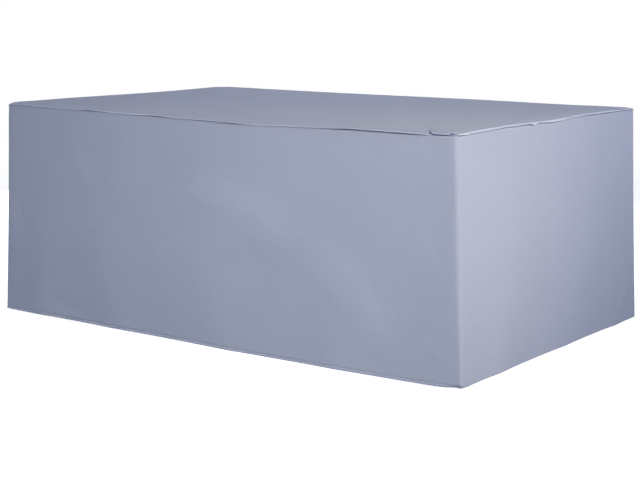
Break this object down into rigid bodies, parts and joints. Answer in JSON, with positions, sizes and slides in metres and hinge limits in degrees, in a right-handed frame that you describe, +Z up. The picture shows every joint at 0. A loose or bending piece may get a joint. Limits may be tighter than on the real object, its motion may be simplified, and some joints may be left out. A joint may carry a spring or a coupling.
{
  "type": "patio furniture cover",
  "caption": "Box-shaped fitted cloth cover for patio furniture: a flat top panel, a smooth wall band with a narrow turned-up hem, and a bound seam round the top edge. Hollow and open below.",
  "frame": {"origin": "middle of the floor that the cover stands over, level with the hem's lowest point", "axes": "+X along the cover's length, towards the end whose near corner shows in the picture; +Y across it, away from the long wall in the picture; +Z up"},
  "size_m": [2.3504, 1.5108, 0.909],
  "materials": {
    "cover_cloth": "silver-blue polyester oxford cloth, smooth water-repellent coating with a soft satin sheen",
    "binding_cloth": "the same coated oxford cloth, folded into a narrow strip and stitched"
  },
  "bodies": {
    "root": {"top_panel": "cover_cloth", "wall_band": "cover_cloth", "seam_binding": "binding_cloth"}
  },
  "joints": []
}
